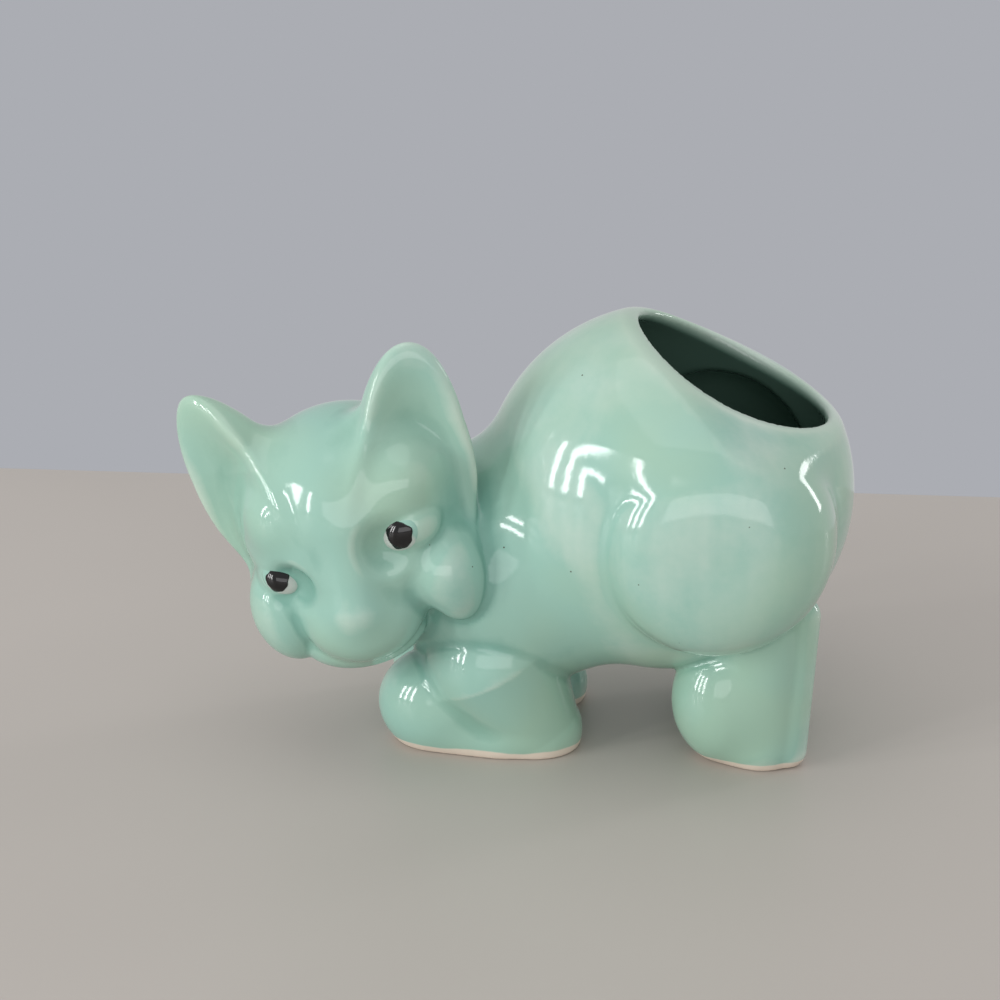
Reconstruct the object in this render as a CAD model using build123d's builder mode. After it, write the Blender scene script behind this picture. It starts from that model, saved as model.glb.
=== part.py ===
from build123d import *
import os
from math import cos, radians, sin, sqrt

os.makedirs("parts", exist_ok=True)

# A slip-cast animal planter: a crouching cat with its head turned over its left shoulder.
# The potter casts the hollow body, the hollow head, the ears and the legs, lutes them
# together with slip, lays in the eyes, glazes the whole and fires it.
# +X is the tail end, -Y the side that the face looks to, +Z up, and the paws stand on Z = 0.

# Driving dimensions in millimetres
wall = 3.5                    # thickness of the cast wall
overrun = 20.0                # how far a cutting form runs past what it cuts
pole_radius = 0.25            # small flat where a turned form meets its axis
keel_y = 0.0                  # middle plane of the body

# Barrel of the body, a spheroid about a crosswise axis
barrel_radius = 43.5
barrel_half_width = 38.5
barrel_x = 34.5
barrel_z = 61.3

# Chest, the lower swelling that the head and the front legs are luted to
chest_radius = 30.5
chest_half_length = 32.0
chest_ahead = 36.5            # chest centre ahead of the barrel centre
chest_drop = 20.0             # and below it
chest_blend = 8.0             # radius of the hollow between chest and barrel

# Haunches, domed discs turned about a crosswise axis
haunch_radius = 27.6
haunch_reach = 44.5           # outermost point from the middle plane
haunch_widest = 14.0          # where the disc is widest, from the middle plane
haunch_inward = 26.0          # depth of the disc inside the barrel
haunch_behind = 10.8          # haunch centre behind the barrel centre
haunch_drop = 2.5             # and below it
haunch_crease = 2.5           # radius in the crease round the haunch
haunch_fullness_share = 0.7

# Mouth, cut slanting through the back and dipping to both sides
mouth_front_ahead = 11.5      # front end of the cut, ahead of the barrel centre
mouth_front_rise = 43.4       # and above it
mouth_rear_behind = 41.0      # rear end of the cut, behind the barrel centre
mouth_rear_rise = 17.7        # and above it
mouth_dip_radius = 115.0      # crosswise radius of the cut
mouth_half_length = 24.0      # of the opening inside the lip
mouth_half_width = 23.0
mouth_wall_depth = 16.0       # how deep the opening is trimmed straight
lip_round = 1.3               # rounding of the fired lip
neck_hole_radius = 7.0        # opening through the chest that joins the two hollows

# Head, in its own frame: right across the face, up over the crown, out of the nose
head_ahead = 71.9             # head centre ahead of the barrel centre
head_aside = 20.0             # towards the side that it looks to
head_drop = 0.8               # below the barrel centre
head_yaw = -2.0               # degrees
head_pitch = 12.0             # nose down
head_roll = 17.0              # the far ear higher than the near one

# Each mass is given by where its centre is: right, up, out
crown_centre = (-0.5, 3.0, -2.0)
crown_radius = 21.9
crown_half_width = 24.0
face_centre = (0.0, -3.0, 4.5)
face_radius = 23.5
face_half_depth = 15.0
jaw_centre = (-0.5, -10.0, 3.0)
jaw_radius = 19.0
jaw_half_width = 21.5
forehead_centre = (1.5, 6.0, 10.5)
forehead_radius = 8.5
forehead_half_height = 10.0
near_brow_centre = (-11.5, 8.0, 8.2)
far_brow_centre = (16.5, 9.0, 5.2)
brow_radius = 8.5
brow_half_depth = 9.2
near_cheek_centre = (-19.6, -17.0, 8.3)
far_cheek_centre = (20.0, -16.0, 8.3)
cheek_radius = 9.6
cheek_half_height = 12.8
nose_top = (3.5, 4.0, 15.0)
nose_tip = (0.5, -13.0, 19.8)
nose_radius = 5.8
nose_overrun_share = 0.75     # half length of the bridge, as a share of top to tip
muzzle_centre = (-1.5, -18.0, 13.0)
muzzle_radius = 12.5
muzzle_half_width = 14.5
chin_centre = (-4.5, -25.0, 10.0)
chin_radius = 9.4
chin_half_width = 15.5

# Eyes, a white dome in each socket with a raised pupil
near_socket_centre = (-15.2, -5.4, 23.2)
near_socket_radius = 7.7
far_socket_centre = (15.2, 0.2, 24.0)
far_socket_radius = 8.9
socket_half_depth = 6.8
near_eye_centre = (-15.8, -5.9, 13.6)
far_eye_centre = (15.4, -0.3, 14.0)
eye_radius = 4.8
pupil_radius = 3.0
pupil_proud = 0.35            # how far the pupil stands out of the white
pupil_inward = 0.7            # pupil's shift on the white, towards the nose
pupil_rise = 0.6              # and towards the brow

# Ears, lofted through crescents along a leaning axis
ear_root_aside = 21.0
ear_root_up = 8.0
ear_root_out = 4.5
near_ear_lean = 16.7          # degrees that it leans outward
far_ear_lean = 13.2
ear_lean_back = 4.6           # and back
ear_turn = 21.7               # that its hollow faces outward
ear_height = 31.0             # above the root
ear_depth = 22.0              # below it
ear_half_width = 12.6
ear_fullness = 1.85           # power of the leaf's outline, where an ellipse has 2
ear_shares = (-0.7, -0.3, 0.15, 0.45, 0.7, 0.87, 0.955, 0.985)
ear_inward = 1.5              # middle of the leaf inward of its axis
ear_cup = 4.1                 # depth of the hollow at its widest
ear_front = 1.0               # bottom of the hollow, behind the axis
ear_tip_thickness = 4.6
ear_swell = 9.5               # added to the thickness at the root
ear_swell_power = 0.8
ear_edge_share = 0.6          # rim, as a share of the thickness in the middle

# Front legs: a shoulder, a forearm lofted through ovals, and a low paw in front of it
shoulder_ahead = 40.5         # ahead of the barrel centre
shoulder_aside = 16.0         # from the middle plane
shoulder_height = 23.0        # above the table
shoulder_radius = 16.5
shoulder_half_width = 14.3
forearm_heights = (0.0, 12.0, 23.0)
forearm_length_radii = (10.5, 13.0, 15.6)
forearm_width_radii = (9.6, 11.5, 13.3)
forearm_ahead = (30.0, 33.5, 39.9)
forearm_aside = (12.8, 13.6, 15.6)
front_toe_ahead = 52.5
front_toe_aside = 13.2
front_toe_height = 9.5
front_toe_radius = 14.6
front_toe_half_width = 12.3
front_pad_ahead = 37.5        # low pad that joins toe and heel
front_pad_aside = 12.6
front_pad_height = 2.0
front_pad_radius = 11.6
front_pad_half_length = 17.0

# Hind legs: a shank lofted through ovals, a raised hock cord, and a paw in front of it
shank_heights = (0.0, 14.0, 44.0)
shank_length_radii = (10.5, 11.0, 12.6)
shank_width_radii = (9.8, 10.6, 11.8)
shank_behind = (22.0, 22.0, 21.0)
shank_aside = (15.4, 15.7, 16.2)
hock_heights = (0.0, 46.0)
hock_radius = 5.0
hock_behind = (28.9, 31.1)
hock_aside = (14.8, 15.8)
hind_toe_behind = 15.2
hind_toe_aside = 16.2
hind_toe_height = 14.5
hind_toe_radius = 12.3
hind_toe_half_height = 16.0

paw_crease = 1.5              # rounding in the crease between paw and leg

# A Bezier arm of this share of the radius draws a quarter of an ellipse
ellipse_share = 4 / 3 * (sqrt(2) - 1)

# Planes that the pieces are placed by
barrel_plane = Plane(origin=(barrel_x, keel_y, barrel_z))


def place(behind, aside, rise=0.0):
    """Point given from the barrel centre: behind it, to the right of the animal, above it."""
    return (barrel_x + behind, keel_y + aside, barrel_z + rise)


head_plane = Plane(
    Location(place(-head_ahead, -head_aside, -head_drop))
    * Rotation(0, 0, head_yaw)
    * Rotation(head_pitch, 0, 0)
    * Rotation(0, -head_roll, 0)
    * Rotation(90, 0, 0)
)


def on_head(right, up, out):
    """Point given in the head's own frame."""
    return head_plane.from_local_coords(Vector(right, up, out))


def oval_turning(plane, radius, top, bottom, middle, full):
    """Closed form turned about the plane's Y axis, widest at middle, full from 0.55 to 1."""
    with BuildPart() as form:
        with BuildSketch(plane):
            with BuildLine():
                upper = Bezier(
                    (pole_radius, middle + top),
                    (radius * full, middle + top),
                    (radius, middle + top * full),
                    (radius, middle),
                )
                lower = Bezier(
                    (radius, middle),
                    (radius, middle - bottom * full),
                    (radius * full, middle - bottom),
                    (pole_radius, middle - bottom),
                )
                Polyline(lower @ 1, (0, middle - bottom), (0, middle + top), upper @ 0)
            make_face()
        revolve(axis=Axis(plane.origin, plane.y_dir))
    return form.part


def ovoid(plane, radius, half_length):
    """Spheroid turned about the plane's own Y axis."""
    return oval_turning(plane, radius, half_length, half_length, 0.0, ellipse_share)


def turning_plane(centre, along, seam):
    """Plane for a turned form: its axis along one way, its seam towards another."""
    return Plane(origin=centre, x_dir=seam, z_dir=Vector(seam).cross(Vector(along)))


def head_ovoid(centre, along, seam, radius, half_length):
    """Spheroid in the head's own frame, turned about along, with its seam towards seam."""
    axis = on_head(*along) - head_plane.origin
    side = on_head(*seam) - head_plane.origin
    return ovoid(turning_plane(on_head(*centre), axis, side), radius, half_length)


def creases(form):
    """Edges where two different faces meet, which leaves out the seams of turned faces."""
    faces = form.faces()
    return form.edges().filter_by(lambda e: sum(e in face.edges() for face in faces) > 1)


def haunch_dome(shrink):
    """Domed disc of the right haunch, drawn in by shrink all round."""
    centre = Plane(origin=place(haunch_behind, 0, -haunch_drop))
    reach = haunch_reach - haunch_widest - shrink
    depth = haunch_inward - shrink
    return oval_turning(
        centre, haunch_radius - shrink, reach, depth, haunch_widest, haunch_fullness_share
    )


def rump_form(shrink):
    """Barrel and both haunches, drawn in by shrink all round."""
    dome = haunch_dome(shrink)
    barrel = ovoid(barrel_plane, barrel_radius - shrink, barrel_half_width - shrink)
    with BuildPart() as form:
        add(barrel)
        add(dome)
        add(dome.mirror(Plane.XZ.offset(-keel_y)))
    return form.part


def chest_form(shrink):
    """Chest ahead of the barrel, drawn in by shrink all round."""
    middle = turning_plane(place(-chest_ahead, 0, -chest_drop), (1, 0, 0), (0, 0, -1))
    return ovoid(middle, chest_radius - shrink, chest_half_length - shrink)


# Outer form of the body, with soft creases, and the cavity that the wall leaves
rump_outside = rump_form(0.0)
chest_outside = chest_form(0.0)
with BuildPart() as body_form:
    add(rump_outside)
    fillet(creases(body_form), radius=haunch_crease)
    add(chest_outside)
    fillet(creases(body_form).filter_by(lambda e: e.center().X < barrel_x), radius=chest_blend)

rump_inside = rump_form(wall)
chest_inside = chest_form(wall)
with BuildPart() as cavity:
    add(rump_inside)
    add(chest_inside)
    fillet(creases(cavity).filter_by(lambda e: e.center().X < barrel_x - chest_blend), radius=chest_blend)

# Body: the cast pot, hollow to its wall and open at the slanting mouth
mouth_front = Vector(place(-mouth_front_ahead, 0, mouth_front_rise))
mouth_line = Vector(place(mouth_rear_behind, 0, mouth_rear_rise)) - mouth_front
mouth_end = Plane(origin=mouth_front, x_dir=(0, 1, 0), z_dir=mouth_line)
mouth_top = Plane(origin=mouth_front + mouth_line / 2, x_dir=mouth_line, z_dir=mouth_end.y_dir)

# The opening through the chest wall, on the line from the chest to the head
chest_centre = Vector(place(-chest_ahead, 0, -chest_drop))
neck_line = Vector(place(-head_ahead, -head_aside, -head_drop)) - chest_centre
with BuildPart() as neck_hole:
    with BuildSketch(Plane(origin=chest_centre, z_dir=neck_line)):
        Circle(neck_hole_radius)
    extrude(amount=neck_line.length)

with BuildPart() as body_casting:
    add(body_form.part)
    add(cavity.part, mode=Mode.SUBTRACT)
    with BuildSketch(mouth_top):
        Ellipse(mouth_half_length, mouth_half_width)
    extrude(amount=mouth_wall_depth, both=True, mode=Mode.SUBTRACT)
    with BuildSketch(mouth_end):
        with Locations((0, barrel_radius)):
            Rectangle(barrel_radius * 2, barrel_radius * 2 + overrun)
        with Locations((0, -mouth_dip_radius)):
            Circle(mouth_dip_radius, mode=Mode.SUBTRACT)
    extrude(amount=mouth_line.length + overrun, both=True, mode=Mode.SUBTRACT)
    lip = body_casting.faces().filter_by(GeomType.CYLINDER).sort_by(Axis.Z)[-1]
    fillet(lip.edges(), radius=lip_round)
    add(neck_hole.part, mode=Mode.SUBTRACT)
body_casting.part.label = "body_casting"
export_step(body_casting.part, "parts/body_casting.step")

# Directions in the head's own frame
across = (1, 0, 0)
crownward = (0, 1, 0)
chinward = (0, -1, 0)
outward = (0, 0, 1)
inward = (0, 0, -1)

# Outer form of the head, and the hollow that the wall leaves
nose_line = Vector(nose_tip) - Vector(nose_top)
nose_middle = Vector(nose_top) + nose_line / 2
nose_half_length = nose_line.length * nose_overrun_share
head_masses = [
    head_ovoid(crown_centre, across, inward, crown_radius, crown_half_width),
    head_ovoid(face_centre, outward, crownward, face_radius, face_half_depth),
    head_ovoid(jaw_centre, across, inward, jaw_radius, jaw_half_width),
    head_ovoid(forehead_centre, crownward, inward, forehead_radius, forehead_half_height),
    head_ovoid(near_brow_centre, outward, crownward, brow_radius, brow_half_depth),
    head_ovoid(far_brow_centre, outward, crownward, brow_radius, brow_half_depth),
    head_ovoid(near_cheek_centre, crownward, inward, cheek_radius, cheek_half_height),
    head_ovoid(far_cheek_centre, crownward, inward, cheek_radius, cheek_half_height),
    head_ovoid(nose_middle, nose_line, inward, nose_radius, nose_half_length),
    head_ovoid(muzzle_centre, across, inward, muzzle_radius, muzzle_half_width),
    head_ovoid(chin_centre, across, inward, chin_radius, chin_half_width),
]
sockets = [
    head_ovoid(near_socket_centre, outward, crownward, near_socket_radius, socket_half_depth),
    head_ovoid(far_socket_centre, outward, crownward, far_socket_radius, socket_half_depth),
]
with BuildPart() as head_form:
    for mass in head_masses:
        add(mass)
    for socket in sockets:
        add(socket, mode=Mode.SUBTRACT)

with BuildPart() as head_hollow:
    add(head_ovoid(crown_centre, across, inward, crown_radius - wall, crown_half_width - wall))
    add(head_ovoid(jaw_centre, across, inward, jaw_radius - wall, jaw_half_width - wall))
    add(body_form.part)

# Head: hollow to its wall, and cut to the chest that it is luted to
with BuildPart() as head_casting:
    add(head_form.part)
    add(head_hollow.part, mode=Mode.SUBTRACT)
head_casting.part.label = "head_casting"
export_step(head_casting.part, "parts/head_casting.step")

def ear_form(lean):
    """Ear on the far side of the head: a cupped leaf lofted through crescents from below its
    root to its tip, thick at the root and thin at the tip."""
    root = Vector(ear_root_aside, ear_root_up, ear_root_out)
    rise = Vector(sin(radians(lean)), cos(radians(lean)), -sin(radians(ear_lean_back))).normalized()
    facing = Vector(sin(radians(ear_turn)), 0, cos(radians(ear_turn)))
    outer = facing.cross(rise).normalized() * -1
    head_origin = head_plane.origin
    with BuildPart() as form:
        for share in ear_shares:
            height = share * (ear_height if share > 0 else ear_depth)
            half = ear_half_width * (1 - abs(share) ** ear_fullness) ** (1 / ear_fullness)
            thickness = ear_tip_thickness + ear_swell * (1 - max(share, 0)) ** ear_swell_power
            rim = ear_cup * (half / ear_half_width) ** 2 - ear_front
            edge = thickness * ear_edge_share
            low = -ear_front - thickness
            section = Plane(
                origin=on_head(*(root + rise * height - outer * ear_inward)),
                x_dir=on_head(*outer) - head_origin,
                z_dir=head_origin - on_head(*rise),
            )
            with BuildSketch(section):
                with BuildLine():
                    ThreePointArc((-half, rim), (0, -ear_front), (half, rim))
                    ThreePointArc((half, rim), (half + edge / 8, rim - edge / 2), (half, rim - edge))
                    ThreePointArc((half, rim - edge), (0, low), (-half, rim - edge))
                    ThreePointArc((-half, rim - edge), (-half - edge / 8, rim - edge / 2), (-half, rim))
                make_face()
        loft()
    return form.part


median = Plane(origin=head_plane.origin, z_dir=head_plane.x_dir)
for leaf, name in (
    (ear_form(far_ear_lean), "left_ear"),
    (ear_form(near_ear_lean).mirror(median), "right_ear"),
):
    with BuildPart() as ear:
        add(leaf)
        add(head_form.part, mode=Mode.SUBTRACT)
        add(body_form.part, mode=Mode.SUBTRACT)
    ear.part.label = name
    export_step(ear.part, f"parts/{name}.step")

# Eyes: a white dome laid in each socket, with a pupil let into it
for side, eye_centre, name in ((1, far_eye_centre, "left"), (-1, near_eye_centre, "right")):
    pupil_depth = eye_radius + pupil_proud - pupil_radius
    pupil_centre = Vector(eye_centre) + Vector(-side * pupil_inward, pupil_rise, pupil_depth)
    with BuildPart() as pupil:
        with Locations(on_head(*pupil_centre)):
            Sphere(pupil_radius)
        add(head_form.part, mode=Mode.SUBTRACT)
    pupil.part.label = f"{name}_pupil"
    export_step(pupil.part, f"parts/{name}_pupil.step")
    with BuildPart() as eye:
        with Locations(on_head(*eye_centre)):
            Sphere(eye_radius)
        add(head_form.part, mode=Mode.SUBTRACT)
        with Locations(on_head(*pupil_centre)):
            Sphere(pupil_radius, mode=Mode.SUBTRACT)
    eye.part.label = f"{name}_eye"
    export_step(eye.part, f"parts/{name}_eye.step")


def upright_loft(side, heights, behind, aside, length_radii, width_radii):
    """Loft through level ovals; behind and aside place each from the barrel centre."""
    with BuildPart() as form:
        for height, back, out, length, width in zip(heights, behind, aside, length_radii, width_radii):
            centre = (barrel_x + back, keel_y + side * out, height)
            with BuildSketch(Plane(origin=centre)):
                Ellipse(length, width)
        loft()
    return form.part


def leg_ovoid(side, behind, aside, height, along, seam, radius, half_length):
    """Spheroid placed by its height above the table."""
    centre = (barrel_x + behind, keel_y + side * aside, height)
    return ovoid(turning_plane(centre, along, seam), radius, half_length)


# Front legs: shoulder, forearm and paw in one casting, cut to the chest and to the table
for side, name in ((-1, "left_front_leg"), (1, "right_front_leg")):
    with BuildPart() as leg:
        add(leg_ovoid(
            side, -shoulder_ahead, shoulder_aside, shoulder_height, (0, 1, 0), (0, 0, 1),
            shoulder_radius, shoulder_half_width,
        ))
        add(upright_loft(
            side, forearm_heights, [-ahead for ahead in forearm_ahead], forearm_aside,
            forearm_length_radii, forearm_width_radii,
        ))
        add(leg_ovoid(
            side, -front_pad_ahead, front_pad_aside, front_pad_height, (1, 0, 0), (0, 0, -1),
            front_pad_radius, front_pad_half_length,
        ))
        add(leg_ovoid(
            side, -front_toe_ahead, front_toe_aside, front_toe_height, (0, 1, 0), (0, 0, -1),
            front_toe_radius, front_toe_half_width,
        ))
        fillet(creases(leg).sort_by(SortBy.LENGTH)[-1], radius=paw_crease)
        add(body_form.part, mode=Mode.SUBTRACT)
        split(bisect_by=Plane.XY, keep=Keep.TOP)
    leg.part.label = name
    export_step(leg.part, f"parts/{name}.step")

# Hind legs: shank, hock cord and paw in one casting, cut to the haunch and to the table
for side, name in ((-1, "left_hind_leg"), (1, "right_hind_leg")):
    with BuildPart() as leg:
        add(upright_loft(
            side, shank_heights, shank_behind, shank_aside, shank_length_radii, shank_width_radii,
        ))
        add(upright_loft(
            side, hock_heights, hock_behind, hock_aside, [hock_radius] * 2, [hock_radius] * 2,
        ))
        add(leg_ovoid(
            side, hind_toe_behind, hind_toe_aside, hind_toe_height, (0, 0, 1), (1, 0, 0),
            hind_toe_radius, hind_toe_half_height,
        ))
        add(body_form.part, mode=Mode.SUBTRACT)
        split(bisect_by=Plane.XY, keep=Keep.TOP)
    leg.part.label = name
    export_step(leg.part, f"parts/{name}.step")
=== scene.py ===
import math

import bpy
import numpy as np
from bpy.props import FloatProperty, FloatVectorProperty, PointerProperty
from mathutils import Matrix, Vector


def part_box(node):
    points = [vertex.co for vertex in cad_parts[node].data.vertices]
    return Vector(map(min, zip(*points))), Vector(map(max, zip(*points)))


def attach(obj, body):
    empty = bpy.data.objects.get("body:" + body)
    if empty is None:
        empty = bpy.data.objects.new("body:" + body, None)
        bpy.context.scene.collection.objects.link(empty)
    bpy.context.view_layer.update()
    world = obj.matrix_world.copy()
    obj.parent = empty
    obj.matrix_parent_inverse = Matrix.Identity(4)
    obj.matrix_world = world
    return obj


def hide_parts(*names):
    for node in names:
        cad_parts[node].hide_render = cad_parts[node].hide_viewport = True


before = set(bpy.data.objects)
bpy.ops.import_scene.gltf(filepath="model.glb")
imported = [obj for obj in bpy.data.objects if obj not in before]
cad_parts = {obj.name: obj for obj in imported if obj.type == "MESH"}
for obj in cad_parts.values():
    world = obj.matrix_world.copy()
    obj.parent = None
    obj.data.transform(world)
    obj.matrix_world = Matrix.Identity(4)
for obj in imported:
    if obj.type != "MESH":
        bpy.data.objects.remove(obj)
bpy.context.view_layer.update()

bl_info = {
    "name": "Cat planter",
    "version": (1, 0, 0),
    "blender": (4, 5, 0),
    "location": "View3D > Sidebar > Planter",
    "description": "Slip-cast cat planter in mint glaze, with its stage",
    "category": "Object",
}

MM = 0.001

# The pieces are sculpted as distance fields, in millimetres. A point is given from the centre
# of the barrel: behind it (towards the tail end), to the right of the cat, above it. A blend is
# the width of the hollow where two forms meet, and a scale brings a field near to true distance.
BARREL_RADIUS = 43.5
BARREL_HALF_WIDTH = 38.5
CHEST_CENTRE = (-36.5, 0.0, -20.0)
CHEST_RADII = (32.0, 30.5, 30.5)
CHEST_BLEND = 8.0
HAUNCH_CENTRE = (10.8, 14.0, -2.5)
HAUNCH_RADIUS = 27.6
HAUNCH_REACH = 30.5
HAUNCH_FULLNESS = 3.3
HAUNCH_SCALE = 0.9
HAUNCH_BLEND = 1.0
# The crease round the haunch fades out between these heights, and above them it is a soft swell
HAUNCH_FADE = (6.0, 24.0)
HAUNCH_TOP_BLEND = 12.0
MOUTH_FRONT = (-11.5, 0.0, 43.2)
MOUTH_REAR = (41.1, 0.0, 17.5)
# The rim dips towards both sides, less on the far side
MOUTH_DIP = 2.8
MOUTH_FAR_DIP = 0.9
MOUTH_DIP_WIDTH = 23.0
MOUTH_HALF_LENGTH = 24.5
MOUTH_HALF_WIDTH = 23.5
MOUTH_DEPTH = 12.0
LIP_ROUND = 1.5

# Head masses in the head's own frame: right across the face, out of the nose, up over the crown.
# Each line is a centre, three radii and the width of the blend into the masses before it.
HEAD_CENTRE = (-71.9, -20.0, -0.8)
HEAD_MASSES = (
    ((-0.5, -2.0, 3.0), (24.0, 22.0, 21.8), 0.0),
    ((0.0, 4.5, -3.0), (23.7, 15.0, 23.0), 7.0),
    ((-0.5, 3.0, -10.0), (21.5, 19.0, 19.0), 5.0),
    ((1.5, 11.0, 6.0), (8.0, 9.0, 10.0), 4.2),
    ((-11.7, 8.6, 8.0), (8.2, 9.5, 8.5), 3.6),
    ((16.5, 5.6, 9.0), (8.8, 9.2, 8.3), 4.6),
    ((-19.7, 8.0, -17.0), (9.3, 10.8, 13.1), 2.5),
    ((-1.5, 13.0, -18.0), (14.5, 12.5, 12.5), 2.2),
)
FAR_CHEEK = (((20.6, 8.0, -16.0), (7.9, 10.6, 12.3)), ((17.5, 9.5, -14.0), (7.5, 9.0, 7.5)))
FAR_CHEEK_BLENDS = (3.0, 2.8)
NOSE_TOP = (3.5, 15.9, 4.0)
NOSE_TIP = (0.5, 20.3, -13.0)
NOSE_RADII = (5.0, 6.0)
NOSE_BLEND = 3.6
CHIN = ((-4.5, 10.0, -25.0), (15.5, 10.3, 9.0))
CHIN_BLEND = 1.0
SOCKET_BLEND = 2.0
LID_BLEND = 0.8

# Both eyes, by the side of the face, where 1 is the cat's left. Each has a socket cut into the
# head, an eyeball with its slant, lids joined on round it, and a painted pupil.
SOCKETS = {
    1: ((15.2, 23.0, 0.2), (9.0, 7.0, 8.8)),
    -1: ((-15.2, 22.4, -5.4), (8.5, 6.5, 7.2)),
}
EYES = {
    1: ((14.9, 13.4, -0.1), (5.7, 4.8, 4.6), 21.0),
    -1: ((-16.0, 13.2, -5.4), (5.2, 4.8, 3.9), -36.0),
}
LIDS = {
    1: ((15.4, 10.4, -0.2), (7.8, 7.0, 6.8)),
    -1: ((-15.9, 10.2, -5.8), (6.8, 7.0, 5.8)),
}
PUPILS = {1: ((15.1, 0.7), (2.9, 3.3)), -1: ((-16.4, -4.2), (2.7, 2.5))}
PUPIL_PROUD = 0.16
PUPIL_FROM = 1.5
# How uneven the pupil's edge is: waves in one turn, share of the radius, and where they start
PUPIL_WAVES = ((3, 0.07, 1.0), (5, 0.04, 0.0), (8, 0.03, 0.0))
# The white is painted round the pupil only, more below it than above: its middle and radius
WHITES = {1: ((14.0, -1.2), 4.4), -1: ((-15.6, -5.2), 3.9)}
WHITE_EDGE = 0.7
# How far from its middle an eye is sampled
EYE_REACH = 6.5

# Ears: a cupped leaf in the head's own frame, thick at its root and thin at its tip. It leans
# outward by a share for each side of the face, and back.
EAR_ROOT = (21.0, 4.5, 8.0)
EAR_LEAN = {1: 0.295, -1: 0.30}
EAR_LEAN_BACK = 0.08
EAR_FACING = (0.37, 0.93, 0.0)
EAR_REACH = 30.2
EAR_DEPTH = 22.0
EAR_HALF_WIDTH = 12.6
EAR_FULLNESS = 1.95
EAR_LEAF_SCALE = 11.0
EAR_INWARD = 1.5
EAR_CUP = 0.031
EAR_FRONT = 1.6
EAR_THICKNESS = 4.6
EAR_SWELL = 9.5
EAR_SWELL_POWER = 0.8
EAR_BACK_EDGE = 1.0
EAR_RIM = 3.4
EAR_SCALE = 0.8
EAR_BLEND = 6.0
# Below this height the leaf sways across by a share of the way down, as far as a limit
EAR_SWAY_FROM = 12.0
EAR_SWAY = 0.1
EAR_SWAY_LIMIT = 25.0
# Below this height the inner rim, but not the outer one, sinks into the forehead in the same way
EAR_SINK_FROM = 10.0
EAR_SINK = 0.34
EAR_SINK_LIMIT = 20.0
EAR_SINK_SIDE = 0.3

# Front legs: a tapering forearm rod and two paw masses, from the barrel centre, right side
FOREARM_TOP = (-39.5, 14.5, -38.5)
FOREARM_FOOT = (-29.0, 13.0, -57.5)
FOREARM_RADII = (16.5, 10.5)
FRONT_PAW = (
    ((-51.5, 12.6, -51.5), (16.2, 12.2, 14.0)),
    ((-37.5, 12.6, -57.5), (17.0, 12.0, 9.0)),
)
FRONT_PAD_BLEND = 4.0
FRONT_PAW_BLEND = 2.5

# Hind legs: a shank rod, a hock cord behind it and a paw mass in front of it
SHANK_TOP = (22.5, 16.0, -27.5)
SHANK_FOOT = (23.5, 15.5, -55.5)
SHANK_RADII = (12.0, 10.5)
HOCK_TOP = (30.8, 19.5, -23.5)
HOCK_FOOT = (29.6, 18.8, -57.5)
HOCK_RADII = (5.2, 5.0)
HIND_PAW = ((15.5, 15.8, -46.5), (13.0, 12.0, 16.0))
HIND_PAW_BLEND = 3.0
HOCK_BLEND = 0.9
LEG_BLEND = 1.0

# How fast a casting sinks under its neighbours, and how round the edge of its sole is
SUNK = 0.12
SOLE_ROUND = 0.5
# How far apart the surface is felt for its creases and ridges, and the share of each distance;
# the widest reach paints shade into the broad hollows
RIDGE_AND_SHADE_REACHES = ((0.9, 0.4), (2.6, 0.4), (6.0, 0.3))
RIDGE_LIMIT = 2.0
# From the inside of the wall out to where the painted shade inside the pot ends
INSIDE_SHADE_FADE = 2.2

# Corners and edges of a cell of the grid that the forms are sampled on
CORNERS = np.array([(i, j, k) for i in (0, 1) for j in (0, 1) for k in (0, 1)])
CELL_EDGES = [
    (a, b)
    for a in range(8)
    for b in range(8)
    if a < b and np.abs(CORNERS[a] - CORNERS[b]).sum() == 1
]
# Planes of the grid that are worked out at one time
SLAB = 12
# The mesh settles on the true surface in this many passes, feeling it this far apart
SETTLE_PASSES = 2
SETTLE_REACH = 0.05
LEAST_SLOPE = 0.05

# The stage, in metres, degrees and watts
TABLE_WIDTH = 3.0
TABLE_LENGTH = 1.6
CAMERA_LENS = 72.0
CAMERA_SENSOR = 36.0
# The camera looks at a point this far in front of the barrel centre, and this high
CAMERA_AHEAD = 0.0395
CAMERA_AIM_HEIGHT = 0.0568
DAYLIGHT = (0.99, 0.98, 1.0)
DAYLIGHT_STRENGTH = 0.6
LAMP_AIM = (0.0, 0.0, 0.05)
# Each lamp's power, width, height, turn from the front towards the tail end, rise and distance.
# The three narrow panes give the glaze its rows of bright streaks.
LAMPS = (
    ("top_light", 1.5, 0.9, 0.7, -5.0, 78.0, 1.0),
    ("near_pane", 1.5, 0.06, 0.42, -67.0, 13.0, 1.0),
    ("middle_pane", 1.5, 0.06, 0.42, -57.0, 13.0, 1.0),
    ("far_pane", 1.5, 0.06, 0.42, -47.0, 13.0, 1.0),
    ("front_fill", 2.8, 1.2, 0.42, 4.0, 12.0, 1.1),
    ("side_window", 1.2, 0.12, 0.4, 118.0, 14.0, 1.0),
)


def linear(colour):
    """An sRGB hex colour as linear red, green and blue."""
    parts = [int(colour[i : i + 2], 16) / 255 for i in (1, 3, 5)]
    return [p / 12.92 if p <= 0.04045 else ((p + 0.055) / 1.055) ** 2.4 for p in parts]


def length(name, millimetres, text):
    """A size that a user can change."""
    return FloatProperty(
        name=name, description=text, default=millimetres * MM, min=0.0, unit="LENGTH", precision=4
    )


def angle(name, degrees, text):
    """An angle that a user can change."""
    return FloatProperty(
        name=name, description=text, default=math.radians(degrees), subtype="ANGLE", unit="ROTATION"
    )


def paint(name, colour, text):
    """A colour that a user can change."""
    return FloatVectorProperty(
        name=name, description=text, default=linear(colour), subtype="COLOR", min=0.0, max=1.0
    )


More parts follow.
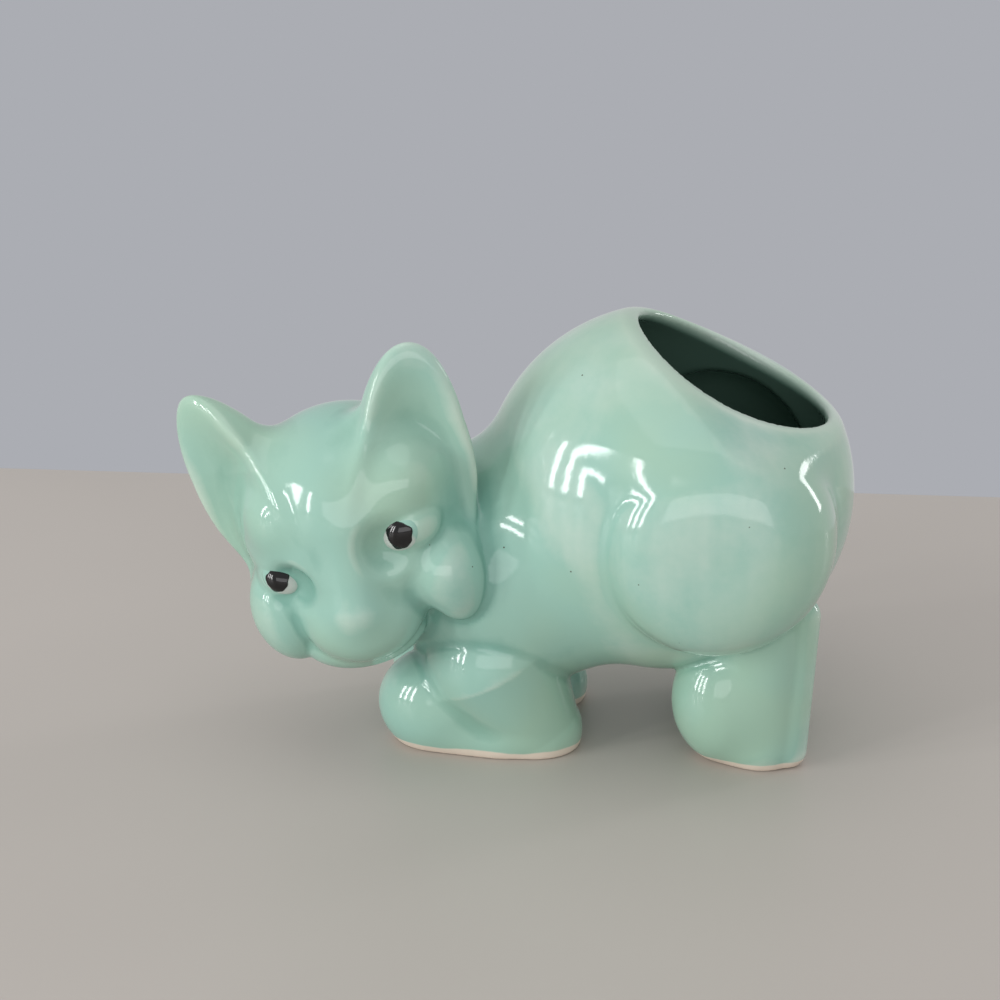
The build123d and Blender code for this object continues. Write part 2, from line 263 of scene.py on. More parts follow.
class PlanterSizes(bpy.types.PropertyGroup):
    """Sizes of the planter, its meshes and its stage"""

    wall: length("Wall", 3.5, "Thickness of the cast wall")
    head_yaw: angle("Head yaw", -2.0, "Turn of the head about the upright axis")
    head_pitch: angle("Head pitch", 12.0, "How far the nose points down")
    head_roll: angle("Head roll", 17.0, "Tilt of the head towards the tail end")
    body_grain: length("Body grain", 0.86, "Spacing of the body's mesh")
    head_grain: length("Head grain", 0.5, "Spacing of the head's mesh")
    ear_grain: length("Ear grain", 0.42, "Spacing of the ears' mesh")
    leg_grain: length("Leg grain", 0.6, "Spacing of the legs' mesh")
    eye_grain: length("Eye grain", 0.2, "Spacing of the eyes' mesh")
    table_depth: length("Table depth", 172.0, "From the planter to the far edge of the table")
    camera_distance: length("Camera distance", 476.0, "From the camera to the point it looks at")
    camera_azimuth: angle("Camera azimuth", 5.0, "How far the camera has moved round to the tail")
    camera_height: angle("Camera elevation", 20.0, "How far the camera looks down")


class PlanterColours(bpy.types.PropertyGroup):
    """Colours of the glazes, the clay, the eyes and the stage"""

    glaze: paint("Glaze", "#95BEB0", "Mint glaze where it lies evenly")
    warm: paint("Warm glaze", "#A0BFA8", "Drifts of the glaze towards olive")
    # Glaze pooled in creases, and painted shade in the broad hollows in the same colour
    pooled_and_shaded: paint("Pooled glaze", "#7AA99B", "Glaze where it has run thick in a crease")
    thin: paint("Thin glaze", "#BFD2C5", "Glaze where it has drawn thin over a ridge")
    # Painted shade: a darker glaze colour standing in for the shadow inside the pot
    inside: paint("Inside glaze", "#5C7A6D", "Thin run of darker glaze inside the pot")
    clay: paint("Clay", "#DCCFBF", "Bare fired clay along the soles")
    speck: paint("Speck", "#4A4A3C", "Iron specks burnt out of the clay")
    white: paint("Eye white", "#C3CAC4", "White underglaze of the eyes")
    black: paint("Pupil", "#0B0B0C", "Black underglaze of the pupils")
    table: paint("Table", "#B9B3AC", "Pale table top")
    background: paint("Background", "#ABADB3", "Plain background behind the table")


# Distance fields


def oval(points, centre, radii):
    """Distance to an ellipsoid, nearly true close to its surface."""
    q = points - np.array(centre)
    r = np.array(radii)
    near = np.sqrt(((q / r) ** 2).sum(-1))
    slope = np.sqrt(((q / (r * r)) ** 2).sum(-1))
    return near * (near - 1.0) / np.maximum(slope, 1e-9)


def rod(points, start, end, radii):
    """Distance to a round-ended rod that tapers from the first radius to the second."""
    a = np.array(start)
    b = np.array(end)
    along = np.clip(((points - a) @ (b - a)) / ((b - a) @ (b - a)), 0.0, 1.0)
    middle = a + along[..., None] * (b - a)
    return np.linalg.norm(points - middle, axis=-1) - (radii[0] + (radii[1] - radii[0]) * along)


def blend(a, b, width):
    """Both forms together, with a hollow of the given width between them."""
    share = np.clip(0.5 + 0.5 * (b - a) / width, 0.0, 1.0)
    return b + (a - b) * share - width * share * (1.0 - share)


def carve(a, b, width):
    """The first form without the second, with a rounded edge."""
    return -blend(-a, b, width)


def unit(v):
    """The vector at length one."""
    v = np.array(v, float)
    return v / np.linalg.norm(v)


def mirrored(points, side):
    """The points mirrored for side -1, the cat's left, so that one form serves both sides."""
    return points * np.array((1.0, side, 1.0))


# Forms of the planter, each a field of points given from the barrel centre


def barrel(points, inset=0.0):
    """Pot without its haunches and chest."""
    radii = np.array((BARREL_RADIUS, BARREL_HALF_WIDTH, BARREL_RADIUS)) - inset
    return oval(points, (0.0, 0.0, 0.0), radii)


def haunch(points, side, inset=0.0):
    """Cushion turned about a crosswise axis, fuller than a ball."""
    q = mirrored(points, side) - np.array(HAUNCH_CENTRE)
    across = np.hypot(q[..., 0], q[..., 2]) / (HAUNCH_RADIUS - inset)
    out = np.abs(q[..., 1]) / (HAUNCH_REACH - inset)
    full = (across**HAUNCH_FULLNESS + out**HAUNCH_FULLNESS) ** (1.0 / HAUNCH_FULLNESS)
    return (full - 1.0) * (HAUNCH_RADIUS - inset) * HAUNCH_SCALE


def trunk(points):
    """Outside of the body, before its mouth is cut."""
    form = barrel(points)
    rise = np.clip((points[..., 2] - HAUNCH_FADE[0]) / (HAUNCH_FADE[1] - HAUNCH_FADE[0]), 0.0, 1.0)
    width = HAUNCH_BLEND + (HAUNCH_TOP_BLEND - HAUNCH_BLEND) * rise**2 * (3.0 - 2.0 * rise)
    for side in (-1, 1):
        form = blend(form, haunch(points, side), width)
    return blend(form, oval(points, CHEST_CENTRE, CHEST_RADII), CHEST_BLEND)


def hollow(points, wall):
    """Inside of the pot."""
    haunches = np.minimum(haunch(points, 1, wall), haunch(points, -1, wall))
    return blend(barrel(points, wall), haunches, HAUNCH_BLEND)


def mouth(points):
    """What the slanting mouth takes away: all above the cut, and the way in under it."""
    front = np.array(MOUTH_FRONT)
    rear = np.array(MOUTH_REAR)
    along = unit(rear - front)
    up = np.array((-along[2], 0.0, along[0]))
    q = points - (front + rear) / 2
    dip = np.where(q[..., 1] < 0.0, MOUTH_DIP, MOUTH_FAR_DIP)
    above = -(q @ up) - dip * (q[..., 1] / MOUTH_DIP_WIDTH) ** 2
    across = np.hypot((q @ along) / MOUTH_HALF_LENGTH, q[..., 1] / MOUTH_HALF_WIDTH)
    way_in = np.maximum((across - 1.0) * MOUTH_HALF_WIDTH, -(q @ up) - MOUTH_DEPTH)
    return above, way_in


def head_points(points, sizes):
    """The points in the head's own frame."""
    yaw, pitch, roll = sizes.head_yaw, sizes.head_pitch, sizes.head_roll
    face = np.diag((1.0, -1.0, 1.0))
    rolled = np.array(
        ((math.cos(roll), 0, -math.sin(roll)), (0, 1, 0), (math.sin(roll), 0, math.cos(roll)))
    )
    pitched = np.array(
        ((1, 0, 0), (0, math.cos(pitch), math.sin(pitch)), (0, -math.sin(pitch), math.cos(pitch)))
    )
    turned = np.array(
        ((math.cos(yaw), math.sin(yaw), 0), (-math.sin(yaw), math.cos(yaw), 0), (0, 0, 1))
    )
    return (points - np.array(HEAD_CENTRE)) @ (face @ turned @ pitched @ rolled)


def skull(local):
    """Head without its ears."""
    form = None
    for centre, radii, width in HEAD_MASSES:
        mass = oval(local, centre, radii)
        form = mass if form is None else blend(form, mass, width)
    cheek = blend(oval(local, *FAR_CHEEK[0]), oval(local, *FAR_CHEEK[1]), FAR_CHEEK_BLENDS[0])
    form = blend(form, cheek, FAR_CHEEK_BLENDS[1])
    form = blend(form, rod(local, NOSE_TOP, NOSE_TIP, NOSE_RADII), NOSE_BLEND)
    form = blend(form, oval(local, *CHIN), CHIN_BLEND)
    for socket in SOCKETS.values():
        form = carve(form, oval(local, *socket), SOCKET_BLEND)
    for lid in LIDS.values():
        form = blend(form, oval(local, *lid), LID_BLEND)
    return form


def eyeball(local, side, inset=0.0):
    """Ball of an eye, slanting down towards the nose."""
    centre, radii, slant = EYES[side]
    c = math.cos(math.radians(slant))
    s = math.sin(math.radians(slant))
    turned = (local - np.array(centre)) @ np.array(((c, 0, -s), (0, 1, 0), (s, 0, c)))
    return oval(turned, (0.0, 0.0, 0.0), np.array(radii) - inset)


def pupil(local, side):
    """Patch of paint on the eyeball, its edge as uneven as a brush leaves it."""
    (right, up), radii = PUPILS[side]
    across = (local[..., 0] - right) / radii[0]
    over = (local[..., 2] - up) / radii[1]
    around = np.arctan2(over, across)
    wobble = sum(share * np.sin(waves * around + start) for waves, share, start in PUPIL_WAVES)
    patch = (np.hypot(across, over) - 1.0 - wobble) * radii[1]
    front = EYES[side][0][1] + PUPIL_FROM - local[..., 1]
    return np.maximum(np.maximum(eyeball(local, side, -PUPIL_PROUD), patch), front)


def ear(local, side):
    """Cupped leaf with a thick rounded rim."""
    rise = unit((EAR_LEAN[side], -EAR_LEAN_BACK, 1.0))
    facing = unit(np.array(EAR_FACING) - (np.array(EAR_FACING) @ rise) * rise)
    q = local * np.array((side, 1.0, 1.0)) - np.array(EAR_ROOT)
    t = q @ rise
    sway = EAR_SWAY * np.clip(t - EAR_SWAY_FROM, -EAR_SWAY_LIMIT, 0.0)
    x = q @ np.cross(rise, facing) - EAR_INWARD - sway
    y = q @ facing
    reach = np.where(t > 0.0, EAR_REACH, EAR_DEPTH)
    outline = np.abs(x / EAR_HALF_WIDTH) ** EAR_FULLNESS + np.abs(t / reach) ** EAR_FULLNESS
    leaf = (outline ** (1.0 / EAR_FULLNESS) - 1.0) * EAR_LEAF_SCALE
    inner = np.clip(EAR_SINK_SIDE + x / EAR_HALF_WIDTH, 0.0, 1.0)
    sunk = EAR_SINK * np.clip(EAR_SINK_FROM - t, 0.0, EAR_SINK_LIMIT) * inner
    cup = EAR_CUP * x * x - EAR_FRONT - sunk
    down = np.clip(1.0 - t / EAR_REACH, 0.0, 1.0)
    thick = EAR_THICKNESS + EAR_SWELL * down**EAR_SWELL_POWER
    plate = carve(y - cup, y - cup + thick, EAR_BACK_EDGE)
    return carve(leaf, -plate, EAR_RIM) * EAR_SCALE


def front_leg(points, side):
    """Forearm with the toes and the pad of its paw."""
    q = mirrored(points, side)
    forearm = rod(q, FOREARM_TOP, FOREARM_FOOT, FOREARM_RADII)
    toes = oval(q, *FRONT_PAW[0])
    pad = oval(q, *FRONT_PAW[1])
    return blend(forearm, blend(toes, pad, FRONT_PAD_BLEND), FRONT_PAW_BLEND)


def hind_leg(points, side):
    """Shank and paw with the cord of the hock behind them."""
    q = mirrored(points, side)
    shank = rod(q, SHANK_TOP, SHANK_FOOT, SHANK_RADII)
    hock = rod(q, HOCK_TOP, HOCK_FOOT, HOCK_RADII)
    return blend(blend(shank, oval(q, *HIND_PAW), HIND_PAW_BLEND), hock, HOCK_BLEND)


def forms(points, sizes):
    """Every casting by name, the points given from the barrel centre."""
    local = head_points(points, sizes)
    return {
        "body_casting": trunk(points),
        "left_front_leg": front_leg(points, -1),
        "right_front_leg": front_leg(points, 1),
        "left_hind_leg": hind_leg(points, -1),
        "right_hind_leg": hind_leg(points, 1),
        "head_casting": skull(local),
        "left_ear": ear(local, 1),
        "right_ear": ear(local, -1),
    }


def whole(points, sizes):
    """The planter as it is luted together, and each casting's own form."""
    own = forms(points, sizes)
    head = own["head_casting"]
    for name in ("left_ear", "right_ear"):
        head = blend(head, own[name], EAR_BLEND)
    joined = blend(own["body_casting"], head, LEG_BLEND)
    for name in ("left_front_leg", "right_front_leg", "left_hind_leg", "right_hind_leg"):
        joined = blend(joined, own[name], LEG_BLEND)
    above, way_in = mouth(points)
    joined = carve(joined, above, LIP_ROUND)
    joined = carve(joined, np.minimum(hollow(points, sizes.wall / MM), way_in), LIP_ROUND)
    return joined, own


# Sculpting: a field becomes a closed mesh


def sampled(field, axes):
    """The field on a grid, slab by slab to spare memory."""
    out = np.empty([len(a) for a in axes])
    for start in range(0, len(axes[0]), SLAB):
        slab = np.meshgrid(axes[0][start : start + SLAB], axes[1], axes[2], indexing="ij")
        out[start : start + SLAB] = field(np.stack(slab, -1))
    return out


def slope_and_bend(field, points, reach):
    """Gradient of the field at points, and its Laplacian, over the given reach."""
    middle = field(points)
    slope = np.zeros_like(points)
    bend = -6.0 * middle
    for axis in range(3):
        step = np.zeros(3)
        step[axis] = reach
        ahead = field(points + step)
        behind = field(points - step)
        slope[:, axis] = (ahead - behind) / (2 * reach)
        bend += ahead + behind
    return middle, slope, bend / reach**2


def skin(field, low, high, grain):
    """Vertices and quads of the field's zero level, by surface nets."""
    axes = [np.arange(low[i], high[i] + grain, grain) for i in range(3)]
    values = sampled(field, axes)
    inside = values < 0.0
    cells = np.array(values.shape) - 1
    counts = sum(
        inside[c[0] : c[0] + cells[0], c[1] : c[1] + cells[1], c[2] : c[2] + cells[2]].astype(int)
        for c in CORNERS
    )
    found = np.argwhere((counts > 0) & (counts < 8))
    index = np.full(cells, -1)
    index[tuple(found.T)] = np.arange(len(found))
    corner_values = np.stack([values[tuple((found + c).T)] for c in CORNERS], 1)
    total = np.zeros((len(found), 3))
    crossings = np.zeros((len(found), 1))
    for a, b in CELL_EDGES:
        va = corner_values[:, a]
        vb = corner_values[:, b]
        crossed = (va < 0) != (vb < 0)
        share = np.where(crossed, va / np.where(crossed, va - vb, 1.0), 0.0)[:, None]
        total += crossed[:, None] * (CORNERS[a] + share * (CORNERS[b] - CORNERS[a]))
        crossings += crossed[:, None]
    points = np.array([a[0] for a in axes]) + grain * (found + total / crossings)
    quads = []
    for axis in range(3):
        u = (axis + 1) % 3
        v = (axis + 2) % 3
        here = [slice(1, -1)] * 3
        here[axis] = slice(0, -1)
        ahead = list(here)
        ahead[axis] = slice(1, None)
        start = inside[tuple(here)]
        end = inside[tuple(ahead)]
        edge = np.argwhere(start != end) + np.array([0 if i == axis else 1 for i in range(3)])
        leaving = start[start != end]
        ring = []
        for du, dv in ((-1, -1), (0, -1), (0, 0), (-1, 0)):
            shift = np.zeros(3, int)
            shift[u] = du
            shift[v] = dv
            ring.append(index[tuple((edge + shift).T)])
        ring = np.stack(ring, 1)
        ring[~leaving] = ring[~leaving][:, ::-1]
        quads.append(ring)
    for _ in range(SETTLE_PASSES):
        middle, slope, _ = slope_and_bend(field, points, SETTLE_REACH)
        points -= slope * (middle / np.maximum((slope**2).sum(1), LEAST_SLOPE))[:, None]
    return points, np.concatenate(quads)


def barrel_centre():
    """Where the barrel centre is in the frame, found from the body casting."""
    low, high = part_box("body_casting")
    return np.array(
        (
            high[0] / MM - BARREL_RADIUS,
            (low[1] + high[1]) / MM / 2,
            low[2] / MM + CHEST_RADII[2] - CHEST_CENTRE[2],
        )
    )


def bearing(turn, rise):
    """The way from the planter to a lamp or the camera, turned from the front and raised."""
    return Vector(
        (math.sin(turn) * math.cos(rise), -math.cos(turn) * math.cos(rise), math.sin(rise))
    )


def piece(name, points, quads, paint_job, node, slot):
    """A closed smooth object that stands for a CAD node, its place in its mesh."""
    mesh = bpy.data.meshes.new(name)
    mesh.from_pydata(((points + barrel_centre()) * MM).tolist(), [], quads.tolist())
    mesh.shade_smooth()
    mesh.materials.append(paint_job)
    thing = bpy.data.objects.new(name, mesh)
    bpy.context.collection.objects.link(thing)
    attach(thing, "root")
    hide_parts(node)
    return thing


def mark(thing, label, values):
    """A value on every point of a piece, which its material reads."""
    kept = thing.data.attributes.new(label, "FLOAT", "POINT")
    kept.data.foreach_set("value", values)


def casting(name, grain, margin=3.0):
    """One luted casting: the whole planter where it is nearest, sunk under its neighbours."""
    sizes = bpy.context.scene.planter_sizes
    low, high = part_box(name)
    low = np.array(low) / MM - margin - barrel_centre()
    high = np.array(high) / MM + margin - barrel_centre()
    table = -barrel_centre()[2]
    low[2] = max(low[2], table - 2 * grain / MM)

    def field(points):
        joined, own = whole(points, sizes)
        mine = own.pop(name)
        others = np.minimum.reduce(list(own.values()))
        beyond = np.clip(mine - others, 0.0, None)
        return carve(joined + SUNK * beyond**2, points[..., 2] - table, SOLE_ROUND)

    points, quads = skin(field, low, high, grain / MM)
    thing = piece(name, points, quads, mint_glaze(), name, "mint_glaze")

    def planter(points):
        return carve(whole(points, sizes)[0], points[..., 2] - table, SOLE_ROUND)

    # Glaze drawn pale over ridges and pooled darker in creases, with painted shade in broad hollows from
    # the widest reach
    bends = [share * reach * slope_and_bend(planter, points, reach)[2] for reach, share in RIDGE_AND_SHADE_REACHES]
    mark(thing, "glaze_ridge_and_shade", np.clip(sum(bends), -RIDGE_LIMIT, RIDGE_LIMIT))
    # Painted shade on the inside wall of the pot, fading out across the lip
    pot = np.clip(1.0 - hollow(points, sizes.wall / MM) / INSIDE_SHADE_FADE, 0.0, 1.0)
    mark(thing, "pot_inside_shade", pot)


# Materials


def add(tree, kind, inputs=None, stops=(), **settings):
    """A node with its settings and links, and the stops of its colour ramp."""
    made = tree.nodes.new(kind)
    for name, value in settings.items():
        setattr(made, name, value)
    for name, value in (inputs or {}).items():
        if isinstance(value, bpy.types.NodeSocket):
            tree.links.new(value, made.inputs[name])
        else:
            made.inputs[name].default_value = value
    if stops:
        elements = made.color_ramp.elements
        while len(elements) < len(stops):
            elements.new(0.5)
        for element, (place, colour) in zip(elements, stops):
            element.position = place
            element.color = (*colour, 1.0)
    return made


def new_material(name):
    """An empty material and its node tree."""
    made = bpy.data.materials.new(name)
    made.use_nodes = True
    made.node_tree.nodes.clear()
    return made, made.node_tree


def mint_glaze():
    """Glossy mint glaze over a buff clay body, brushed and fired: it draws thin and pale over
    ridges, pools darker in creases, mottles softly, and stops short of the soles. Painted shade
    darkens its broad hollows and the inside of the pot."""
    name = "mint_glaze_on_earthenware"
    if name in bpy.data.materials:
        return bpy.data.materials[name]
    colours = bpy.context.scene.planter_colours
    made, tree = new_material(name)
    place = add(tree, "ShaderNodeTexCoord").outputs["Object"]
    # Curvature: thin glaze over ridges, pooled glaze in creases, and painted shade in broad hollows
    ridge = add(tree, "ShaderNodeAttribute", attribute_name="glaze_ridge_and_shade").outputs["Fac"]
    # Clouds of glaze about 14 mm across, and a mottle of about 2.5 mm
    cloud = add(
        tree, "ShaderNodeTexNoise", {"Vector": place, "Scale": 70.0, "Detail": 3.0}
    ).outputs["Fac"]
    mottle = add(
        tree, "ShaderNodeTexNoise", {"Vector": place, "Scale": 400.0, "Detail": 4.0, "Roughness": 0.6}
    ).outputs["Fac"]
    # Runs about 5 mm wide that go down the sides
    upright = add(tree, "ShaderNodeMapping", {"Vector": place, "Scale": (200.0, 200.0, 28.0)})
    runs = add(
        tree, "ShaderNodeTexNoise", {"Vector": upright.outputs["Vector"], "Scale": 1.0, "Detail": 2.0}
    ).outputs["Fac"]
    drawn = add(
        tree,
        "ShaderNodeMapRange",
        {"Value": ridge, "From Min": -0.5, "From Max": 1.1, "To Min": 0.0, "To Max": 1.0},
    ).outputs["Result"]
    for pattern, share in ((cloud, 0.3), (mottle, 0.12), (runs, 0.16)):
        uneven = add(tree, "ShaderNodeMath", {0: pattern, 1: 0.5}, operation="SUBTRACT").outputs[0]
        drawn = add(
            tree, "ShaderNodeMath", {0: uneven, 1: share, 2: drawn}, operation="MULTIPLY_ADD"
        ).outputs[0]
    colour = add(
        tree,
        "ShaderNodeValToRGB",
        {"Fac": drawn},
        stops=(
            (0.05, tuple(colours.pooled_and_shaded)),
            (0.32, tuple(colours.glaze)),
            (0.6, tuple(colours.glaze)),
            (0.93, tuple(colours.thin)),
        ),
    ).outputs["Color"]
    # Drifts about 40 mm across where the glaze turns warmer
    drift = add(
        tree, "ShaderNodeTexNoise", {"Vector": place, "Scale": 26.0, "Detail": 2.0}
    ).outputs["Fac"]
    warmth = add(
        tree,
        "ShaderNodeMapRange",
        {"Value": drift, "From Min": 0.42, "From Max": 0.66, "To Min": 0.0, "To Max": 0.7},
    ).outputs["Result"]
    # Painted shade inside the pot, mixed over the glaze colour
    inside_shade = add(tree, "ShaderNodeAttribute", attribute_name="pot_inside_shade").outputs["Fac"]
    # Iron specks under half a millimetre across, one here and there
    specks = add(tree, "ShaderNodeTexVoronoi", {"Vector": place, "Scale": 130.0})
    near = add(
        tree,
        "ShaderNodeMapRange",
        {
            "Value": specks.outputs["Distance"],
            "From Min": 0.018,
            "From Max": 0.034,
            "To Min": 1.0,
            "To Max": 0.0,
        },
    ).outputs["Result"]
    chosen = add(tree, "ShaderNodeSeparateColor", {"Color": specks.outputs["Color"]}).outputs["Red"]
    few = add(tree, "ShaderNodeMath", {0: chosen, 1: 0.72}, operation="GREATER_THAN").outputs[0]
    dot = add(tree, "ShaderNodeMath", {0: near, 1: few}, operation="MULTIPLY").outputs[0]
    # The glaze ends about 2.2 mm above the table, in a wandering line
    height = add(tree, "ShaderNodeSeparateXYZ", {"Vector": place}).outputs["Z"]
    line = add(
        tree, "ShaderNodeMath", {0: cloud, 1: 0.0022, 2: height}, operation="MULTIPLY_ADD"
    ).outputs[0]
    bare = add(
        tree,
        "ShaderNodeMapRange",
        {"Value": line, "From Min": 0.0031, "From Max": 0.0035, "To Min": 1.0, "To Max": 0.0},
    ).outputs["Result"]
    for share, over in (
        (warmth, colours.warm),
        (inside_shade, colours.inside),
        (dot, colours.speck),
        (bare, colours.clay),
    ):
        colour = add(
            tree, "ShaderNodeMix", {"Factor": share, "A": colour, "B": (*over, 1.0)}, data_type="RGBA"
        ).outputs["Result"]
    # Glossy where it is glazed, dull where the clay is bare
    dull = add(tree, "ShaderNodeMapRange", {"Value": bare, "To Min": 0.09, "To Max": 0.75})
    # Glaze skin: slow waves about 7 mm long, and a faint orange peel
    skin_of_glaze = None
    for scale, detail, strength, depth in ((140.0, 1.0, 0.12, 0.0003), (900.0, 2.0, 0.1, 0.0001)):
        relief = add(tree, "ShaderNodeTexNoise", {"Vector": place, "Scale": scale, "Detail": detail})
        inputs = {"Height": relief.outputs["Fac"], "Strength": strength, "Distance": depth}
        if skin_of_glaze is not None:
            inputs["Normal"] = skin_of_glaze
        skin_of_glaze = add(tree, "ShaderNodeBump", inputs).outputs["Normal"]
    shader = add(
        tree,
        "ShaderNodeBsdfPrincipled",
        {
            "Base Color": colour,
            "Roughness": dull.outputs["Result"],
            "Normal": skin_of_glaze,
            "IOR": 1.5,
        },
    )
    add(tree, "ShaderNodeOutputMaterial", {"Surface": shader.outputs["BSDF"]})
    return made


def underglaze(name, colour, drift, around=None):
    """Underglaze painted on the eye and fired under clear glaze: flat colour, a little uneven
    where the brush left it, and as glossy as the rest. The colour around it shows past its edge."""
    if name in bpy.data.materials:
        return bpy.data.materials[name]
    made, tree = new_material(name)
    place = add(tree, "ShaderNodeTexCoord").outputs["Object"]
    # Brush marks under 2 mm across
    brush = add(tree, "ShaderNodeTexNoise", {"Vector": place, "Scale": 600.0, "Detail": 3.0})
    base = np.array(colour)
    uneven = add(
        tree,
        "ShaderNodeValToRGB",
        {"Fac": brush.outputs["Fac"]},
        stops=((0.3, base * (1.0 - drift)), (0.7, np.minimum(base * (1.0 + drift), 1.0))),
    ).outputs["Color"]
    if around is not None:
        painted = add(tree, "ShaderNodeAttribute", attribute_name="white_paint").outputs["Fac"]
        uneven = add(
            tree, "ShaderNodeMix", {"Factor": painted, "A": (*around, 1.0), "B": uneven}, data_type="RGBA"
        ).outputs["Result"]
    shader = add(
        tree, "ShaderNodeBsdfPrincipled", {"Base Color": uneven, "Roughness": 0.08, "IOR": 1.5}
    )
    add(tree, "ShaderNodeOutputMaterial", {"Surface": shader.outputs["BSDF"]})
    return made


def plain(name, colour, roughness):
    """Matt painted table top, faintly uneven."""
    made, tree = new_material(name)
    place = add(tree, "ShaderNodeTexCoord").outputs["Object"]
    # Clouds about 170 mm across
    shade = add(tree, "ShaderNodeTexNoise", {"Vector": place, "Scale": 6.0, "Detail": 2.0})
    base = np.array(colour)
    uneven = add(
        tree,
        "ShaderNodeValToRGB",
        {"Fac": shade.outputs["Fac"]},
        stops=((0.3, base * 0.97), (0.7, base * 1.03)),
    ).outputs["Color"]
    shader = add(tree, "ShaderNodeBsdfPrincipled", {"Base Color": uneven, "Roughness": roughness})
    add(tree, "ShaderNodeOutputMaterial", {"Surface": shader.outputs["BSDF"]})
    return made


# Operators, one for each piece or group of like pieces, and one for the stage


class PLANTER_OT_body(bpy.types.Operator):
    """Cast body with its haunches, chest and slanting mouth"""

    bl_idname = "planter.body"
    bl_label = "Body casting"

    def execute(self, context):
        casting("body_casting", context.scene.planter_sizes.body_grain)
        return {"FINISHED"}


class PLANTER_OT_head(bpy.types.Operator):
    """Head with brows, cheeks, muzzle and eye sockets"""

    bl_idname = "planter.head"
    bl_label = "Head casting"

    def execute(self, context):
        casting("head_casting", context.scene.planter_sizes.head_grain)
        return {"FINISHED"}


class PLANTER_OT_ears(bpy.types.Operator):
    """Both cupped ears"""

    bl_idname = "planter.ears"
    bl_label = "Ears"

    def execute(self, context):
        for name in ("left_ear", "right_ear"):
            casting(name, context.scene.planter_sizes.ear_grain, margin=6.0)
        return {"FINISHED"}


class PLANTER_OT_legs(bpy.types.Operator):
    """All four legs with their paws"""

    bl_idname = "planter.legs"
    bl_label = "Legs"

    def execute(self, context):
        for name in ("left_front_leg", "right_front_leg", "left_hind_leg", "right_hind_leg"):
            casting(name, context.scene.planter_sizes.leg_grain)
        return {"FINISHED"}


class PLANTER_OT_eyes(bpy.types.Operator):
    """Eyeballs in their sockets, painted white round their pupils"""

    bl_idname = "planter.eyes"
    bl_label = "Eyes and pupils"

    def execute(self, context):
        sizes = context.scene.planter_sizes
        colours = context.scene.planter_colours
        white = underglaze("white_underglaze", colours.white, 0.03, colours.glaze)
        black = underglaze("black_underglaze", colours.black, 0.3)
        spin = head_points(np.eye(3) + np.array(HEAD_CENTRE), sizes)
        for name, side in (("left", 1), ("right", -1)):
            middle = np.array(EYES[side][0]) @ np.linalg.inv(spin) + np.array(HEAD_CENTRE)
            low = middle - EYE_REACH
            high = middle + EYE_REACH
            for part, shape, job, slot in (
                ("eye", eyeball, white, "white_glaze"),
                ("pupil", pupil, black, "black_glaze"),
            ):

                def field(points):
                    return shape(head_points(points, sizes), side)

                points, quads = skin(field, low, high, sizes.eye_grain / MM)
                node = f"{name}_{part}"
                thing = piece(node, points, quads, job, node, slot)
                if part == "eye":
                    (right, up), size = WHITES[side]
                    local = head_points(points, sizes)
                    away = np.hypot(local[:, 0] - right, local[:, 2] - up)
                    mark(thing, "white_paint", np.clip((size - away) / WHITE_EDGE, 0.0, 1.0))
        return {"FINISHED"}


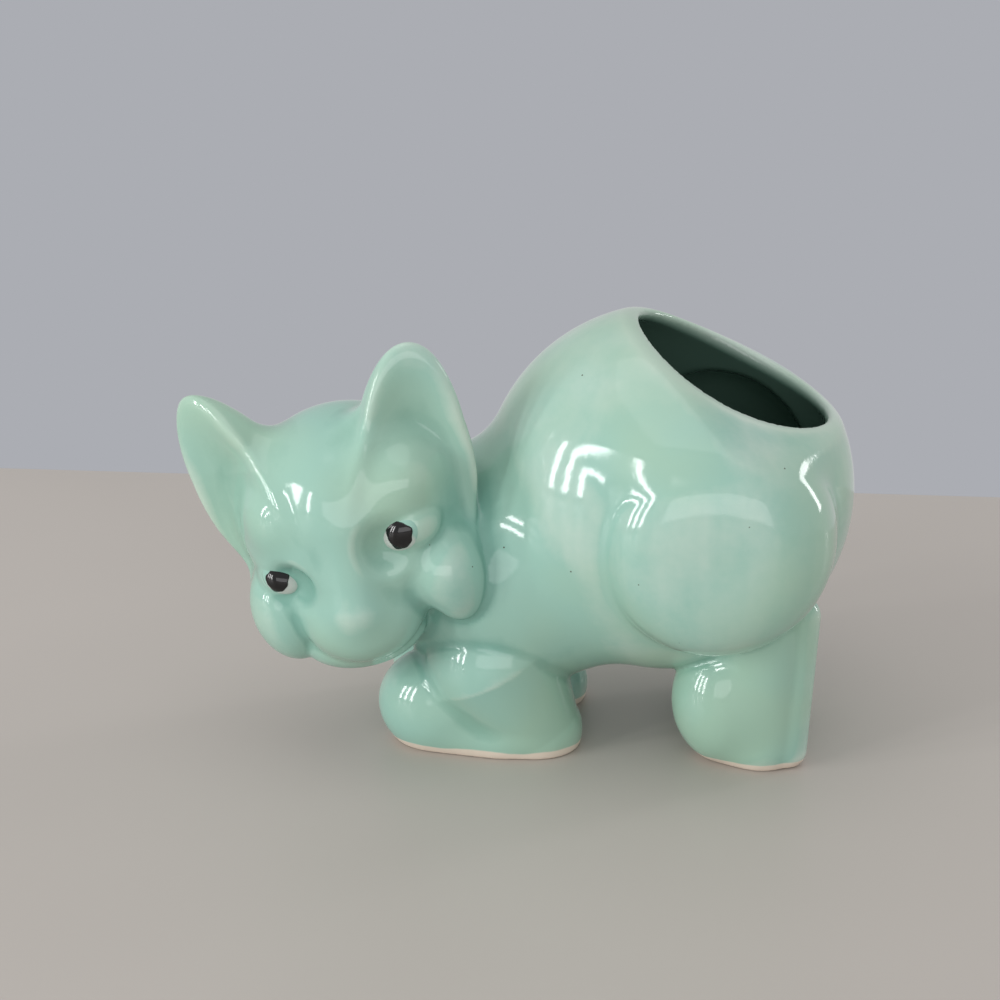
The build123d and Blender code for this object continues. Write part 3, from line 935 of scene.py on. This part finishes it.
class PLANTER_OT_stage(bpy.types.Operator):
    """Table, background, soft light and camera"""

    bl_idname = "planter.stage"
    bl_label = "Stage"

    def execute(self, context):
        scene = context.scene
        sizes = scene.planter_sizes
        colours = scene.planter_colours
        bpy.ops.mesh.primitive_grid_add(size=1.0)
        table = context.object
        table.name = "table"
        table.data.transform(table.matrix_world)
        for vertex in table.data.vertices:
            vertex.co.x *= TABLE_WIDTH
            vertex.co.y = (vertex.co.y - 0.5) * TABLE_LENGTH + sizes.table_depth
        table.data.materials.append(plain("table_top", tuple(colours.table), 0.45))

        world = bpy.data.worlds.new("studio")
        scene.world = world
        world.use_nodes = True
        tree = world.node_tree
        tree.nodes.clear()
        # The camera sees a plain background, and soft daylight falls on the planter
        path = add(tree, "ShaderNodeLightPath")
        light = add(
            tree, "ShaderNodeBackground", {"Color": (*DAYLIGHT, 1.0), "Strength": DAYLIGHT_STRENGTH}
        )
        shown = add(tree, "ShaderNodeBackground", {"Color": (*colours.background, 1.0), "Strength": 1.0})
        mixed = add(
            tree,
            "ShaderNodeMixShader",
            {0: path.outputs["Is Camera Ray"], 1: light.outputs[0], 2: shown.outputs[0]},
        )
        add(tree, "ShaderNodeOutputWorld", {"Surface": mixed.outputs[0]})

        for name, energy, wide, high, turn, rise, away in LAMPS:
            towards = bearing(math.radians(turn), math.radians(rise))
            lamp = bpy.data.lights.new(name, "AREA")
            lamp.energy = energy
            lamp.shape = "RECTANGLE"
            lamp.size = wide
            lamp.size_y = high
            fixture = bpy.data.objects.new(name, lamp)
            fixture.location = Vector(LAMP_AIM) + towards * away
            fixture.rotation_euler = (-towards).to_track_quat("-Z", "Y").to_euler()
            context.collection.objects.link(fixture)

        centre = barrel_centre() * MM
        aim = Vector((centre[0] - CAMERA_AHEAD, centre[1], CAMERA_AIM_HEIGHT))
        turn = sizes.camera_azimuth
        rise = sizes.camera_height
        optics = bpy.data.cameras.new("camera")
        optics.lens = CAMERA_LENS
        optics.sensor_width = CAMERA_SENSOR
        camera = bpy.data.objects.new("camera", optics)
        camera.location = aim + bearing(turn, rise) * sizes.camera_distance
        camera.rotation_euler = (math.pi / 2 - rise, 0.0, turn)
        context.collection.objects.link(camera)
        scene.camera = camera
        scene.view_settings.view_transform = "Standard"
        return {"FINISHED"}


class PLANTER_PT_panel(bpy.types.Panel):
    """Pieces of the planter"""

    bl_label = "Cat planter"
    bl_idname = "PLANTER_PT_panel"
    bl_space_type = "VIEW_3D"
    bl_region_type = "UI"
    bl_category = "Planter"

    def draw(self, context):
        for group in (context.scene.planter_sizes, context.scene.planter_colours):
            for name in group.__annotations__:
                self.layout.prop(group, name)
        for maker in MAKERS:
            self.layout.operator(maker.bl_idname)


MAKERS = (
    PLANTER_OT_stage,
    PLANTER_OT_body,
    PLANTER_OT_head,
    PLANTER_OT_ears,
    PLANTER_OT_legs,
    PLANTER_OT_eyes,
)
CLASSES = (PlanterSizes, PlanterColours, *MAKERS, PLANTER_PT_panel)


def register():
    """Make the classes and their settings known."""
    for kind in CLASSES:
        bpy.utils.register_class(kind)
    bpy.types.Scene.planter_sizes = PointerProperty(type=PlanterSizes)
    bpy.types.Scene.planter_colours = PointerProperty(type=PlanterColours)


def unregister():
    """Take the classes and their settings away."""
    del bpy.types.Scene.planter_colours
    del bpy.types.Scene.planter_sizes
    for kind in reversed(CLASSES):
        bpy.utils.unregister_class(kind)


def main():
    """Build the stage and every piece."""
    register()
    bpy.ops.planter.stage()
    bpy.ops.planter.body()
    bpy.ops.planter.head()
    bpy.ops.planter.ears()
    bpy.ops.planter.legs()
    bpy.ops.planter.eyes()


if __name__ == "__main__":
    main()
